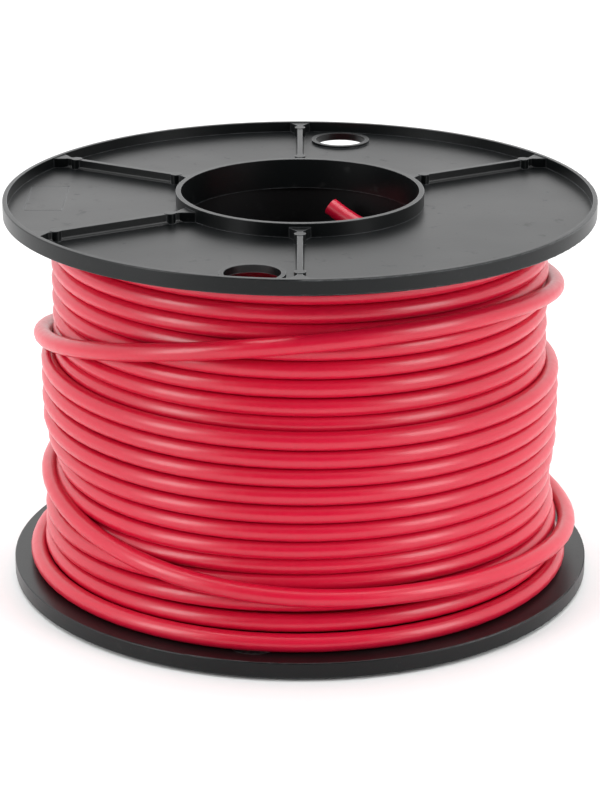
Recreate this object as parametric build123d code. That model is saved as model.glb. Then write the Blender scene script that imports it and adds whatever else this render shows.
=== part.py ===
"""A moulded spool wound with single-core cable, in millimetres.

The spool stands on its lower flange: Z is the spool's axis, z = 0 is the end face of the lower hub
collar, and the middle of that face is the origin. Both flanges are the same moulding; the lower one is
turned over. Angles are measured about Z from +X, counter-clockwise seen from above.
"""
from build123d import *
import math
import os

# Flange moulding, drawn with its cable-side face on z = 0 and its outer side upwards
FLANGE_R = 100.0
RIM_HEIGHT = 5.4
RIM_WALL = 1.6
WEB = 1.7
BORE_R = 40.2
COLLAR_WALL = 1.7
COLLAR_PROUD = 1.0  # the hub collar stands this much higher than the rim
SPIGOT_LENGTH = 4.0  # the collar carried on into the barrel
ROOT_RADIUS = 1.2  # inside corners of the moulding
EDGE_RADIUS = 0.4  # outside edges of the moulding

RIB_ANGLES = [30, 90, 150, 210, 270]
RIB_WALL = 1.8
RIB_BELOW_RIM = 0.3
GUSSET_LENGTH = 4.5  # the ribs widen over this length at both ends
GUSSET_SPREAD = 2.6
PAD_R = 1.9  # ejector pads on top of the ribs
PAD_FROM_END = 7.5
PAD_RISE = 0.15

PIN_HOLE_R = 9.0
PIN_HOLE_CIRCLE_R = 85.0
PIN_HOLE_ANGLES = [80, 260]
PIN_LIP_WALL = 1.5
PIN_LIP_RISE = 0.9

INSERT_SIZE = (13.0, 31.0)  # witness line of a mould insert in the web
INSERT_AT = (-86.0, 6.0)
WITNESS_LINE = 0.3
WITNESS_DEPTH = 0.15

# Barrel
TRAVERSE = 122.6  # clear height between the flanges
BARREL_BORE_R = 42.0
BARREL_R = 43.8
SLOT_LENGTH = 42.0
SLOT_HEIGHT = 11.0
SLOT_ANGLE = 9.5
SLOT_Z = 114.2

# Cable
CABLE_D = 6.1
CABLE_R = CABLE_D / 2
WINDING_R = 88.8
TOP_LAYER_TOP_Z = 84.0  # the last layer stops here, and the one under it shows above
UNDER_LAYER_R = 84.4
LOWEST_TURN_R = 93.6  # the lowest turn lies on the lower flange, outside the others
LOWEST_TURN_START = 150.0
LOWEST_TURN_END = 20.0

# Inner end of the cable: from the first layer, through the barrel's slot, into the hollow hub
INNER_ROUTE = [
    (44.5, -12.6, 113.0),
    (43.6, 1.2, 113.2),
    (37.5, 12.7, 113.3),
    (27.4, 20.9, 113.9),
    (18.0, 25.7, 116.4),
    (10.7, 30.0, 121.2),
]
# Outer end, as (angle, height): down the outside of the winding to the lower flange
OUTER_ROUTE_R = 94.0
OUTER_ROUTE = [(140, 33.5), (118, 16.5), (104, 9.45), (88, 9.45)]
ARC_SHARE = 0.45  # of the shorter run beside a corner, taken by the corner's arc

# Bunched copper conductor
CONDUCTOR_R = 1.95
BUNCHES_ROUND = 6
BUNCH_R = 0.63
CONDUCTOR_DEPTH = 4.0
CONDUCTOR_PROUD = 0.3

LOWER_FACE_Z = COLLAR_PROUD + RIM_HEIGHT
UPPER_FACE_Z = LOWER_FACE_Z + TRAVERSE
COLLAR_R = BORE_R + COLLAR_WALL
COLLAR_HEIGHT = RIM_HEIGHT + COLLAR_PROUD
RIM_INNER_R = FLANGE_R - RIM_WALL


def polar(radius, angle):
    return (radius * math.cos(math.radians(angle)), radius * math.sin(math.radians(angle)))


def ring(inner_r, outer_r, low_z, high_z):
    outer = Cylinder(outer_r, high_z - low_z, align=(Align.CENTER, Align.CENTER, Align.MIN))
    inner = Cylinder(inner_r, high_z - low_z, align=(Align.CENTER, Align.CENTER, Align.MIN))
    return Pos(0, 0, low_z) * (outer - inner)


# --- flange -------------------------------------------------------------------------------------------
def flange_dish():
    """Web, rim and hub collar as one turned section."""
    with BuildSketch(Plane.XZ) as section:
        with BuildLine():
            Polyline(
                (BORE_R, -SPIGOT_LENGTH),
                (COLLAR_R, -SPIGOT_LENGTH),
                (COLLAR_R, 0),
                (FLANGE_R, 0),
                (FLANGE_R, RIM_HEIGHT),
                (RIM_INNER_R, RIM_HEIGHT),
                (RIM_INNER_R, WEB),
                (COLLAR_R, WEB),
                (COLLAR_R, COLLAR_HEIGHT),
                (BORE_R, COLLAR_HEIGHT),
                close=True,
            )
        make_face()
        inside = [v for v in section.vertices() if abs(v.Z - WEB) < 1e-6]
        fillet(inside, ROOT_RADIUS)
        outside = [v for v in section.vertices() if v.Z > RIM_HEIGHT - 1e-6]
        outside += [v for v in section.vertices() if abs(v.X - FLANGE_R) < 1e-6 and v.Z < 1e-6]
        fillet(outside, EDGE_RADIUS)
    return revolve(section.sketch, axis=Axis.Z)


def rib(angle):
    """One radial rib, with a flared foot, a widened end at the rim and at the collar, and two pads."""
    half = RIB_WALL / 2
    top = RIM_HEIGHT - RIB_BELOW_RIM
    foot = half + ROOT_RADIUS
    low = WEB / 2
    start = COLLAR_R - COLLAR_WALL / 2
    end = RIM_INNER_R + RIM_WALL / 2
    with BuildSketch(Plane.YZ.offset(start)) as section:
        with BuildLine():
            Line((-foot, low), (foot, low))
            Line((foot, low), (foot, WEB))
            RadiusArc((foot, WEB), (half, WEB + ROOT_RADIUS), ROOT_RADIUS)
            Line((half, WEB + ROOT_RADIUS), (half, top))
            Line((half, top), (-half, top))
            Line((-half, top), (-half, WEB + ROOT_RADIUS))
            RadiusArc((-half, WEB + ROOT_RADIUS), (-foot, WEB), ROOT_RADIUS)
            Line((-foot, WEB), (-foot, low))
        make_face()
    shape = extrude(section.sketch, amount=end - start)

    wide = half + GUSSET_SPREAD
    for wall_r, inward in ((COLLAR_R, 1), (RIM_INNER_R, -1)):
        tip = wall_r + inward * GUSSET_LENGTH
        root = wall_r - inward * COLLAR_WALL / 2
        with BuildSketch(Plane.XY.offset(low)) as flare:
            with BuildLine():
                Polyline((root, -wide), (wall_r, -wide), (tip, -half), (tip, half), (wall_r, wide),
                         (root, wide), close=True)
            make_face()
        shape += extrude(flare.sketch, amount=top - low)
        pad_r = wall_r + inward * PAD_FROM_END
        pad = Cylinder(PAD_R, top + PAD_RISE - low, align=(Align.CENTER, Align.CENTER, Align.MIN))
        shape += Pos(pad_r, 0, low) * pad
    return Rot(0, 0, angle) * shape


def pin_lip(angle):
    x, y = polar(PIN_HOLE_CIRCLE_R, angle)
    return Pos(x, y, 0) * ring(PIN_HOLE_R, PIN_HOLE_R + PIN_LIP_WALL, WEB / 2, WEB + PIN_LIP_RISE)


def pin_hole(angle):
    x, y = polar(PIN_HOLE_CIRCLE_R, angle)
    return Pos(x, y, 0) * Cylinder(PIN_HOLE_R, 4 * RIM_HEIGHT)


def insert_witness():
    outline = Rectangle(*INSERT_SIZE) - offset(Rectangle(*INSERT_SIZE), -WITNESS_LINE)
    return Pos(*INSERT_AT, WEB - WITNESS_DEPTH) * extrude(outline, amount=RIM_HEIGHT)


def make_flange():
    flange = flange_dish()
    for angle in RIB_ANGLES:
        flange += rib(angle)
    for angle in PIN_HOLE_ANGLES:
        flange += pin_lip(angle)
    for angle in PIN_HOLE_ANGLES:
        flange -= pin_hole(angle)
    return flange - insert_witness()


# --- barrel -------------------------------------------------------------------------------------------
def make_barrel():
    barrel = ring(BARREL_BORE_R, BARREL_R, LOWER_FACE_Z, UPPER_FACE_Z)
    cutter = extrude(Plane.YZ * SlotOverall(SLOT_LENGTH, SLOT_HEIGHT), amount=2 * BARREL_R)
    return barrel - Pos(0, 0, SLOT_Z) * Rot(0, 0, SLOT_ANGLE) * cutter


# --- cable --------------------------------------------------------------------------------------------
def make_winding():
    """The outer shape of all the turns as one ring, with the lowest turn outside it on the flange."""
    lowest_turn_top_z = LOWER_FACE_Z + CABLE_D
    turns = ring(BARREL_R, LOWEST_TURN_R - CABLE_D, LOWER_FACE_Z, lowest_turn_top_z)
    turns += ring(BARREL_R, WINDING_R, lowest_turn_top_z, TOP_LAYER_TOP_Z)
    turns += ring(BARREL_R, UNDER_LAYER_R, TOP_LAYER_TOP_Z, UPPER_FACE_Z)
    with BuildSketch(Plane.XZ) as band:
        with Locations((LOWEST_TURN_R - CABLE_R, LOWER_FACE_Z + CABLE_R)):
            Rectangle(CABLE_D, CABLE_D)
    sweep_angle = (LOWEST_TURN_END - LOWEST_TURN_START) % 360
    lowest_turn = revolve(band.sketch, axis=Axis.Z, revolution_arc=sweep_angle)
    return turns + Rot(0, 0, LOWEST_TURN_START) * lowest_turn


def corner_radii(route):
    """The largest arcs that leave ARC_SHARE of each run to the corner at its end."""
    points = [Vector(*p) for p in route]
    radii = []
    for before, at, after in zip(points, points[1:], points[2:]):
        turn = math.radians((at - before).get_angle(after - at))
        shorter = min((at - before).length, (after - at).length)
        radii.append(ARC_SHARE * shorter / math.tan(turn / 2))
    return radii


def end_frame(route):
    """A plane on the free end of a route, facing out of the cable."""
    last = Vector(*route[-1])
    return Plane(origin=last, z_dir=last - Vector(*route[-2]))


def socket(plane):
    """Room for the conductor in a cable's end."""
    return plane * Pos(0, 0, -CONDUCTOR_DEPTH) * Cylinder(
        CONDUCTOR_R, 2 * CONDUCTOR_DEPTH, align=(Align.CENTER, Align.CENTER, Align.MIN)
    )


def make_tube(name, route):
    """A round cable along a route, with its bends printed and its volume checked."""
    radii = corner_radii(route)
    path = FilletPolyline(*route, radius=radii)
    start = Vector(*route[0])
    profile = Plane(origin=start, z_dir=Vector(*route[1]) - start) * Circle(CABLE_R)
    tube = sweep(profile, path=path)
    expected = math.pi * CABLE_R**2 * path.length
    print(name, "bend radii", [round(r, 1) for r in radii], "mm; length", round(path.length, 1))
    print(name, "volume", round(tube.volume, 1), "against section times length", round(expected, 1))
    return tube


def make_conductor(plane):
    """The copper bunches seen in a cut end: one in the middle and the rest round it."""
    length = CONDUCTOR_DEPTH - 0.2 + CONDUCTOR_PROUD
    bunch = Cylinder(BUNCH_R, length, align=(Align.CENTER, Align.CENTER, Align.MIN))
    low = Pos(0, 0, CONDUCTOR_PROUD - length)
    spots = [(0, 0)] + [polar(2.05 * BUNCH_R, i * 360 / BUNCHES_ROUND) for i in range(BUNCHES_ROUND)]
    return Compound(children=[plane * low * Pos(x, y, 0) * bunch for x, y in spots])


# --- assembly -----------------------------------------------------------------------------------------
flange = make_flange()
turned_over = Rot(0, 0, -20) * Rot(180, 0, 0) * flange
winding = make_winding()
outer_route = [(*polar(OUTER_ROUTE_R, angle), height) for angle, height in OUTER_ROUTE]
inner_end = end_frame(INNER_ROUTE)
outer_end = end_frame(outer_route)

nodes = {
    "upper_flange": Pos(0, 0, UPPER_FACE_Z) * flange,
    "lower_flange": Pos(0, 0, LOWER_FACE_Z) * turned_over,
    "barrel": make_barrel(),
    "cable_winding": winding,
    "cable_inner_tail": make_tube("inner tail", INNER_ROUTE) - winding - socket(inner_end),
    "cable_outer_tail": make_tube("outer tail", outer_route) - socket(outer_end),
    "inner_end_conductor": make_conductor(inner_end),
    "outer_end_conductor": make_conductor(outer_end),
}

os.makedirs("parts", exist_ok=True)
for name, shape in nodes.items():
    export_step(shape, f"parts/{name}.step")
    print(name, round(shape.volume, 1), "mm3")
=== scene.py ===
"""Looks of the cable spool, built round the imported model. Metres, with +Z up the spool's axis."""
import math

import bpy
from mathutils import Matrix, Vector


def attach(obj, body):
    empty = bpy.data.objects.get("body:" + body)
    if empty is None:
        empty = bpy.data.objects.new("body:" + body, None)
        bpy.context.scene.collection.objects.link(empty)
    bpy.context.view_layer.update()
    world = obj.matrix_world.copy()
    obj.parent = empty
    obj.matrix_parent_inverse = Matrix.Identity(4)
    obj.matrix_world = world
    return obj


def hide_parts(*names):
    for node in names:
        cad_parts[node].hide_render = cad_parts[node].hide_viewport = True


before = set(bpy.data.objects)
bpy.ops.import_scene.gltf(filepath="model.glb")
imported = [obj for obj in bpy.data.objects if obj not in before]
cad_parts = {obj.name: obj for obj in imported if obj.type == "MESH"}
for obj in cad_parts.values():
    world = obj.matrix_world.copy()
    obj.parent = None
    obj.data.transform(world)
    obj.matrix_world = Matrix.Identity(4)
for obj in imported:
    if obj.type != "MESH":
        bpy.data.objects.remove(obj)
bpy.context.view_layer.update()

# --- camera -------------------------------------------------------------------------------------------
CAMERA_AT = (0.0, -0.8988, 0.3806)
CAMERA_DOWN = 19.63  # degrees below the horizon
CAMERA_LENS = 124.0

camera = bpy.data.objects.new("camera", bpy.data.cameras.new("camera"))
bpy.context.collection.objects.link(camera)
camera.location = CAMERA_AT
camera.rotation_euler = (math.radians(90 - CAMERA_DOWN), 0, 0)
camera.data.lens = CAMERA_LENS
camera.data.sensor_width = 36
bpy.context.scene.camera = camera

# --- cable --------------------------------------------------------------------------------------------
# All in millimetres and degrees here. Turns are counted clockwise seen from above: a whole number is at
# the front (-Y), and the first of the outer layer is turn 0.
MM = 0.001
CABLE_D = 6.1
LOW_Z = 6.4 + CABLE_D / 2  # the cable's line where it lies on the lower flange
HIGH_Z = 129.0 - CABLE_D / 2  # and under the upper one
BARREL_R = 43.8
HIDDEN_LAYERS = 5
PITCH = 6.13
STEP_UP_TURNS = 0.5  # taken by the cable to climb from one layer to the next
LAYER_GAP = 7.78  # between the lines of two layers
LAYER_GAP_ABOVE = 6.9  # and above the height where the last layer ends
LAYER_END_Z = 78.6
LAYER_END_TILT = 1.9  # that height is so much less at the right and more at the left
LAYER_END_BLUR = 1.5

# Control points per turn, and how the hidden ones spread out from the closer points of the inner end
HIDDEN_POINTS = 12
OUTER_POINTS = 24
FIRST_STEP = 0.055  # turns
STEP_GROWTH = 1.2

# Inner end of the cable, from its free tip inside the hub to the first layer on the barrel
INNER_ROUTE = [
    (10.7, 30.0, 121.2),
    (18.0, 25.7, 116.4),
    (27.4, 20.9, 113.9),
    (37.5, 12.7, 113.3),
    (43.6, 1.2, 113.2),
    (44.5, -12.6, 113.0),
]

# Places where the turns sank into the layers under them: depth per layer, height and its spread, angle from
# +X and its spread. And the place where loose turns stand out of the outer layer, from its second turn on.
SUNK = [(1.05, 43.0, 9.0, 185, 40), (0.5, 31.0, 4.5, 262, 42), (0.5, 37.0, 9.0, 356, 35)]
BULGE = (1.5, 17.0, 5.0, 0, 30)

# Outer layer. Its lowest turn: turn, height, and how far the line is outside the layer's own radius
LOWEST_TURN = [
    (-0.50, LOW_Z, -LAYER_GAP),
    (-0.36, LOW_Z, -4.0),
    (-0.27, LOW_Z, 4.8),
    (0.0, LOW_Z, 4.9),
    (0.15, LOW_Z, 5.8),
    (0.25, LOW_Z, 5.8),
    (0.50, 11.0, 0.8),
    (0.75, 14.5, 1.3),
]
SECOND_TURN_OUT = [(0.75, 1.3), (1.0, 1.4), (1.2, 0.4), (1.5, 0)]  # the last of these goes on
# Heights of the turns after it at these parts of each: front, left, back and right
TURN_PARTS = (0, 0.2, 0.5, 0.75)
TURN_HEIGHTS = [
    (15.2, 12.7, 17.3, 20.4),
    (22.0, 18.6, 23.4, 26.5),
    (28.4, 24.9, 29.5, 32.6),
    (34.3, 31.3, 35.6, 38.4),
    (39.9, 37.8, 41.8, 44.4),
    (46.0, 44.6, 48.0, 50.3),
    (52.2, 51.5, 54.3, 56.4),
    (58.4, 58.4, 60.6, 62.5),
    (64.5, 65.4, 66.9, 68.5),
    (70.6, 72.3, 73.2, 74.5),
    (76.8, 78.4, 78.5, 78.6),
    (80.8, 82.4, 83.9, 84.7),
    (86.6, 88.4, 89.7, 90.8),
]
TOP_TURNS = [(14.0, 93.0), (15.0, 99.1), (18.0, 117.4), (19.0, 123.6), (19.28, 125.3)]  # turn, height
# Last two turns, laid loosely over the others: turn, height, radius of the cable's line
OVER_LAYER = [
    (19.28, 125.3, 81.35),
    (19.37, 122.3, 86.0),
    (19.46, 116.5, 87.3),
    (19.58, 105.0, 87.2),
    (19.66, 98.0, 87.0),
    (19.72, 99.5, 86.8),
    (19.77, 105.0, 86.6),
    (19.80, 108.2, 87.0),
    (19.84, 110.8, 87.0),
    (19.89, 112.3, 87.0),
    (19.94, 111.8, 87.0),
    (20.0, 110.8, 87.0),
    (20.04, 107.6, 87.0),
    (20.08, 103.9, 87.0),
    (20.12, 99.2, 87.0),
    (20.19, 90.4, 86.8),
    (20.22, 87.6, 86.8),
    (20.25, 85.8, 87.4),
    (20.29, 82.4, 89.8),
    (20.33, 77.5, 91.9),
    (20.50, 47.0, 92.0),
    (20.62, 24.0, 92.3),
    (20.68, 16.2, 93.0),
    (20.72, 16.6, 93.3),
    (20.77, 18.9, 93.3),
    (20.83, 21.6, 92.9),
    (20.88, 23.7, 92.2),
    (20.92, 24.3, 91.9),
    (21.0, 24.4, 91.4),
    (21.04, 26.6, 91.2),
    (21.07, 28.2, 90.9),
    (21.11, 30.8, 90.2),
    (21.15, 34.8, 88.6),
    (21.19, 38.2, 86.8),
    (21.22, 39.6, 85.9),
    (21.26, 39.4, 85.8),
    (21.30, 38.0, 87.6),
]
# Outer end, as (angle from +X, height): down the outside of the winding to the lower flange
OUTER_ROUTE_R = 94.0
OUTER_ROUTE = [(140, 33.5), (118, 16.5), (104, 9.45), (88, 9.45)]


def clamp01(x):
    return min(1.0, max(0.0, x))


def smooth(x, start, end):
    u = clamp01((x - start) / (end - start))
    return u * u * (3 - 2 * u)


def between(knots, x, column):
    """The knots' value in that column at x, on straight lines from knot to knot."""
    for a, b in zip(knots, knots[1:]):
        if x <= b[0]:
            u = clamp01((x - a[0]) / (b[0] - a[0]))
            return a[column] + (b[column] - a[column]) * u
    return knots[-1][column]


def averaged(values):
    """Each value averaged with its neighbours, so that the knots leave no corners."""
    weights = (1, 2, 3, 2, 1)
    padded = [values[0]] * 2 + values + [values[-1]] * 2
    return [sum(w * v for w, v in zip(weights, padded[i:])) / sum(weights) for i in range(len(values))]


def near(x, middle, width):
    return math.exp(-(((x - middle) / width) ** 2))


def angle_of(turn):
    """Degrees round from +X."""
    return (270 - 360 * turn) % 360


def at_place(place, height, angle):
    """How far a place of SUNK or BULGE moves the cable there."""
    depth, middle, tall, towards, wide = place
    away = (angle - towards + 180) % 360 - 180
    return depth * near(height, middle, tall) * near(away, 0, wide)


def layer_radius(layer, height, angle):
    """Radius of a layer's line. Layers lie closer above the last one's end, and where slack turns sank."""
    end = LAYER_END_Z - LAYER_END_TILT * math.cos(math.radians(angle))
    above = smooth(height, end - LAYER_END_BLUR, end + LAYER_END_BLUR)
    gap = LAYER_GAP - (LAYER_GAP - LAYER_GAP_ABOVE) * above
    for place in SUNK:
        gap -= at_place(place, height, angle)
    return BARREL_R + CABLE_D / 2 + layer * gap


def hidden_knots():
    """(turn, height, layer) of the wound cable from the barrel's slot to the outer layer."""
    turns_per_layer = (HIGH_Z - LOW_Z) / PITCH
    turn, height = LOWEST_TURN[0][0], LOW_Z
    knots = [(turn, height, HIDDEN_LAYERS - 1)]
    for layer in range(HIDDEN_LAYERS - 1, 0, -1):
        turn -= turns_per_layer
        height = HIGH_Z if height == LOW_Z else LOW_Z
        knots.append((turn, height, layer))
        turn -= STEP_UP_TURNS
        knots.append((turn, height, layer - 1))
    x, y, start_height = INNER_ROUTE[-1]
    start = (270 - math.degrees(math.atan2(y, x))) / 360
    turn -= abs(start_height - height) / PITCH
    knots.append((math.floor(turn - start) + start, start_height, 0))
    return knots[::-1]


def outer_knots():
    """(turn, height, distance outside the layer's radius) of the outer layer, up from the lower flange."""
    knots = list(LOWEST_TURN)
    for i, heights in enumerate(TURN_HEIGHTS):
        for part, height in zip(TURN_PARTS, heights):
            turn = i + 1 + part
            knots.append((turn, height, between(SECOND_TURN_OUT, turn, 1)))
    return knots + [(turn, height, 0) for turn, height in TOP_TURNS]


def on_turn(turn, radius, height, points_per_turn):
    """A control point. It stands a little outside the line, which cuts the corners between points."""
    angle = math.radians(angle_of(turn))
    radius /= math.cos(math.pi / points_per_turn)
    return Vector((radius * math.cos(angle), radius * math.sin(angle), height))


def hidden_points():
    knots = hidden_knots()
    points = []
    step = FIRST_STEP
    turn = knots[0][0] + step
    while turn < knots[-1][0] - 0.5 / HIDDEN_POINTS:
        height = between(knots, turn, 1)
        radius = layer_radius(between(knots, turn, 2), height, angle_of(turn))
        points.append(on_turn(turn, radius, height, 1 / step))
        step = min(step * STEP_GROWTH, 1 / HIDDEN_POINTS)
        turn += step
    return points


def outer_points():
    knots = outer_knots()
    first, last = knots[0][0], OVER_LAYER[-1][0]
    count = round((last - first) * OUTER_POINTS)
    turns = [first + i * (last - first) / count for i in range(count + 1)]
    heights, radii = [], []
    for turn in turns:
        if turn <= knots[-1][0]:
            height = between(knots, turn, 1)
            radius = layer_radius(HIDDEN_LAYERS, height, angle_of(turn)) + between(knots, turn, 2)
            if turn > 1:
                radius += at_place(BULGE, height, angle_of(turn))
        else:
            height = between(OVER_LAYER, turn, 1)
            radius = between(OVER_LAYER, turn, 2)
        heights.append(height)
        radii.append(radius)
    placed = zip(turns, averaged(radii), averaged(heights))
    return [on_turn(turn, radius, height, OUTER_POINTS) for turn, radius, height in placed]


def end_points():
    points = []
    for degrees, height in OUTER_ROUTE:
        angle = math.radians(degrees)
        points.append(Vector((OUTER_ROUTE_R * math.cos(angle), OUTER_ROUTE_R * math.sin(angle), height)))
    return points


def cable_route():
    """Control points in metres, from the tip inside the hub to the tip on the lower flange."""
    points = [Vector(p) for p in INNER_ROUTE] + hidden_points() + outer_points() + end_points()
    return [p * MM for p in points]


def make_cable():
    curve = bpy.data.curves.new("cable", "CURVE")
    curve.dimensions = "3D"
    curve.bevel_depth = CABLE_D / 2 * MM
    curve.bevel_resolution = 6
    curve.resolution_u = 3  # finer than this, the cable's STL would be too large
    curve.use_fill_caps = True
    route = cable_route()
    spline = curve.splines.new("NURBS")
    spline.points.add(len(route) - 1)
    for point, place in zip(spline.points, route):
        point.co = (*place, 1)
    spline.order_u = 3
    spline.use_endpoint_u = True
    cable = bpy.data.objects.new("cable", curve)
    bpy.context.collection.objects.link(cable)
    return cable


cable = make_cable()


# --- materials ----------------------------------------------------------------------------------------
class Nodes:
    """Short names for the nodes of one material."""

    def __init__(self, name):
        self.material = bpy.data.materials.new(name)
        self.material.use_nodes = True
        self.tree = self.material.node_tree
        self.shader = self.tree.nodes["Principled BSDF"]
        self.place = self.tree.nodes.new("ShaderNodeTexCoord").outputs["Object"]

    def add(self, kind, links=(), **settings):
        """A node with its settings, and its inputs linked or set by name."""
        node = self.tree.nodes.new("ShaderNode" + kind)
        for key, value in settings.items():
            setattr(node, key, value)
        for key, value in dict(links).items():
            self.feed(node.inputs[key], value)
        return node

    def feed(self, socket, value):
        if isinstance(value, bpy.types.NodeSocket):
            self.tree.links.new(value, socket)
        else:
            socket.default_value = value

    def noise(self, scale, detail=3.0, roughness=0.5, stretch=(1, 1, 1)):
        """Noise over the object, scale in features per metre."""
        mapping = self.add("Mapping", {"Vector": self.place, "Scale": stretch})
        noise = self.add(
            "TexNoise",
            {"Vector": mapping.outputs["Vector"], "Scale": scale, "Detail": detail, "Roughness": roughness},
        )
        return noise.outputs["Fac"]

    def ramp(self, value, low, high, out_low, out_high):
        """The value from low to high, turned smoothly into one from out_low to out_high."""
        node = self.add(
            "MapRange",
            {"Value": value, "From Min": low, "From Max": high, "To Min": out_low, "To Max": out_high},
            interpolation_type="SMOOTHSTEP",
        )
        return node.outputs["Result"]

    def mix(self, factor, a, b):
        node = self.add("Mix", data_type="RGBA")
        self.feed(node.inputs["Factor"], factor)
        self.feed(node.inputs["A"], a)
        self.feed(node.inputs["B"], b)
        return node.outputs["Result"]

    def edges(self, radius, strength):
        """Painted highlight along an edge: how much a point is on an edge, where a rounded edge's normal
        leaves the face's own, made patchy with noise.
        """
        rounded = self.add("Bevel", {"Radius": radius}, samples=4).outputs["Normal"]
        flat = self.tree.nodes.new("ShaderNodeNewGeometry").outputs["Normal"]
        alike = self.add("VectorMath", {0: rounded, 1: flat}, operation="DOT_PRODUCT").outputs["Value"]
        patchiness = self.ramp(self.noise(210, 3), 0.3, 0.65, 0.35 * strength, strength)
        edge = self.ramp(alike, 0.90, 0.995, 1, 0)
        return self.add("Math", {0: edge, 1: patchiness}, operation="MULTIPLY").outputs["Value"]

    def bumps(self, *layers):
        """Stacked bumps of (height, strength, distance in metres), ending in the shader's normal."""
        normal = None
        for height, strength, distance in layers:
            inputs = {"Height": height, "Strength": strength, "Distance": distance}
            if normal is not None:
                inputs["Normal"] = normal
            normal = self.add("Bump", inputs).outputs["Normal"]
        self.feed(self.shader.inputs["Normal"], normal)


def rgb(r, g, b):
    return (r, g, b, 1.0)


def cable_material():
    """Smooth red PVC, extruded: a little uneven along its length, with a fine grain in its gloss.

    Like the plastic, it is kept rougher than 0.28 everywhere: fine dark lines showed where it crossed that.
    """
    n = Nodes("cable_pvc")
    tone = n.ramp(n.noise(9, 2), 0.3, 0.7, 0, 1)
    grain = n.ramp(n.noise(800, 2), 0.25, 0.75, 0, 0.16)
    colour = n.mix(tone, rgb(0.46, 0.0015, 0.021), rgb(0.54, 0.0025, 0.029))
    colour = n.mix(grain, colour, rgb(0.58, 0.015, 0.05))
    n.feed(n.shader.inputs["Base Color"], colour)
    n.feed(n.shader.inputs["Roughness"], n.ramp(n.noise(400, 3), 0.2, 0.8, 0.30, 0.38))
    n.shader.inputs["Specular IOR Level"].default_value = 0.45
    n.shader.inputs["Coat Weight"].default_value = 0.12
    n.shader.inputs["Coat Roughness"].default_value = 0.14
    n.bumps((n.noise(90, 0), 0.15, 0.0004), (n.noise(1400, 2), 0.12, 0.00004))
    return n.material


def moulded_plastic(name, dark, light, roughness, specular):
    """Black moulded polystyrene: flow marks in the gloss, a fine skin, dust, rubbed spots and a painted
    highlight along each edge.

    roughness is its (least, most).
    """
    n = Nodes(name)
    flow = n.noise(14, 3, 0.6, (1, 1, 0.3))
    specks = n.ramp(n.noise(1900, 2, 0.7), 0.68, 0.76, 0, 0.5)
    rubs = n.ramp(n.noise(170, 5, 0.7), 0.58, 0.72, 0, 1)
    colour = n.mix(n.ramp(flow, 0.3, 0.7, 0, 1), dark, light)
    colour = n.mix(n.ramp(rubs, 0, 1, 0, 0.35), colour, rgb(0.018, 0.019, 0.019))
    colour = n.mix(specks, colour, rgb(0.06, 0.06, 0.06))
    # Painted highlight: a pale grey mixed in along each edge, in place of the light that a rounded edge
    # catches.
    colour = n.mix(n.edges(0.0005, 0.75), colour, rgb(0.11, 0.115, 0.12))
    n.feed(n.shader.inputs["Base Color"], colour)
    gloss = n.ramp(flow, 0.3, 0.7, *roughness)
    patchiness = n.add("Math", {0: gloss, 1: n.ramp(rubs, 0, 1, 0, 0.10)}, operation="ADD").outputs["Value"]
    n.feed(n.shader.inputs["Roughness"], patchiness)
    n.shader.inputs["Specular IOR Level"].default_value = specular
    n.bumps(
        (flow, 0.10, 0.0012),
        (n.noise(900, 3, 0.6), 0.25, 0.00006),
        (n.noise(3200, 2), 0.2, 0.00002),
    )
    return n.material


def copper_material():
    """Cut copper strands, tarnished in places."""
    n = Nodes("bunched_copper")
    tarnish = n.ramp(n.noise(900, 4, 0.6), 0.35, 0.7, 0, 1)
    n.feed(n.shader.inputs["Base Color"], n.mix(tarnish, rgb(0.86, 0.42, 0.24), rgb(0.50, 0.20, 0.10)))
    n.feed(n.shader.inputs["Roughness"], n.ramp(tarnish, 0, 1, 0.22, 0.45))
    n.shader.inputs["Metallic"].default_value = 1.0
    n.bumps((n.noise(5200, 2, 0.5), 0.5, 0.00005))
    return n.material


def paint(node, material):
    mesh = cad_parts[node].data
    mesh.materials.clear()
    mesh.materials.append(material)


upper_plastic = moulded_plastic(
    "upper_flange_polystyrene",
    dark=rgb(0.0022, 0.0028, 0.0030),
    light=rgb(0.0044, 0.0052, 0.0055),
    roughness=(0.29, 0.35),
    specular=0.23,
)
# The flanges are one moulding. The lower flange's copy is painted lighter, and given a higher specular
# level, than the upper one's. This is painted light: a lit copy of the same plastic.
lower_plastic_painted_lighter = moulded_plastic(
    "lower_flange_polystyrene_painted_lighter",
    dark=rgb(0.0030, 0.0036, 0.0039),
    light=rgb(0.0055, 0.0062, 0.0066),
    roughness=(0.29, 0.35),
    specular=0.25,
)
barrel_plastic = moulded_plastic(
    "barrel_polystyrene",
    dark=rgb(0.004, 0.004, 0.0045),
    light=rgb(0.006, 0.006, 0.0065),
    roughness=(0.40, 0.52),
    specular=0.25,
)
copper = copper_material()
paint("upper_flange", upper_plastic)
paint("lower_flange", lower_plastic_painted_lighter)
paint("barrel", barrel_plastic)
paint("inner_end_conductor", copper)
paint("outer_end_conductor", copper)
cable.data.materials.append(cable_material())

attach(cable, "root")
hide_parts("cable_winding", "cable_inner_tail", "cable_outer_tail")


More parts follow.
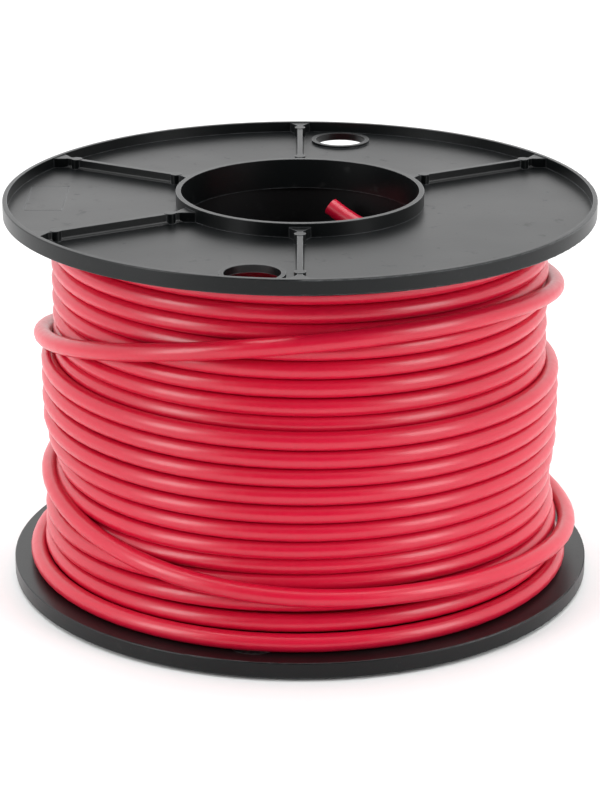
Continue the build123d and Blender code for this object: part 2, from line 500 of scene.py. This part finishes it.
# --- floor and light ----------------------------------------------------------------------------------
def make_floor():
    bpy.ops.mesh.primitive_plane_add(size=12, location=(0, 0, 0))
    floor = bpy.context.object
    floor.name = "floor"
    n = Nodes("floor_paper")
    paper = n.mix(n.noise(3, 2), rgb(0.78, 0.78, 0.78), rgb(0.81, 0.81, 0.81))
    n.feed(n.shader.inputs["Base Color"], paper)
    n.shader.inputs["Roughness"].default_value = 0.7
    floor.data.materials.append(n.material)


def softbox(name, place, size, power):
    """A rectangular light of so many watts, turned to the middle of the object."""
    light = bpy.data.lights.new(name, "AREA")
    light.shape = "RECTANGLE"
    light.size, light.size_y = size
    light.energy = power
    lamp = bpy.data.objects.new(name, light)
    lamp.location = place
    lamp.rotation_euler = (Vector(MIDDLE) - Vector(place)).to_track_quat("-Z", "Y").to_euler()
    bpy.context.collection.objects.link(lamp)


def make_sky():
    """White behind and beside the object, fading to dim behind the camera."""
    world = bpy.data.worlds.new("studio")
    world.use_nodes = True
    sky = world.node_tree
    direction = sky.nodes.new("ShaderNodeTexCoord").outputs["Generated"]
    split = sky.nodes.new("ShaderNodeSeparateXYZ")
    fade = sky.nodes.new("ShaderNodeMapRange")
    fade.interpolation_type = "SMOOTHSTEP"
    settings = {"From Min": SKY_DIM_Y, "From Max": SKY_WHITE_Y, "To Min": SKY_DIM, "To Max": SKY_WHITE}
    for name, value in settings.items():
        fade.inputs[name].default_value = value
    sky.links.new(direction, split.inputs[0])
    sky.links.new(split.outputs["Y"], fade.inputs["Value"])
    sky.links.new(fade.outputs["Result"], sky.nodes["Background"].inputs["Strength"])
    sky.nodes["Background"].inputs["Color"].default_value = rgb(1, 1, 1)
    bpy.context.scene.world = world


MIDDLE = (0, 0, 0.07)
SKY_DIM, SKY_DIM_Y = 0.03, -0.85  # strength, and the Y of the direction where it is reached
SKY_WHITE, SKY_WHITE_Y = 1.5, 0.15

make_floor()
softbox("left_softbox", (-0.93, -0.62, 0.45), size=(0.45, 0.8), power=8)
softbox("right_softbox", (0.93, -0.62, 0.45), size=(0.45, 0.8), power=7.5)
softbox("top_softbox", (0, 0.15, 1.3), size=(1.2, 1.0), power=11)
make_sky()
bpy.context.scene.view_settings.view_transform = "Standard"
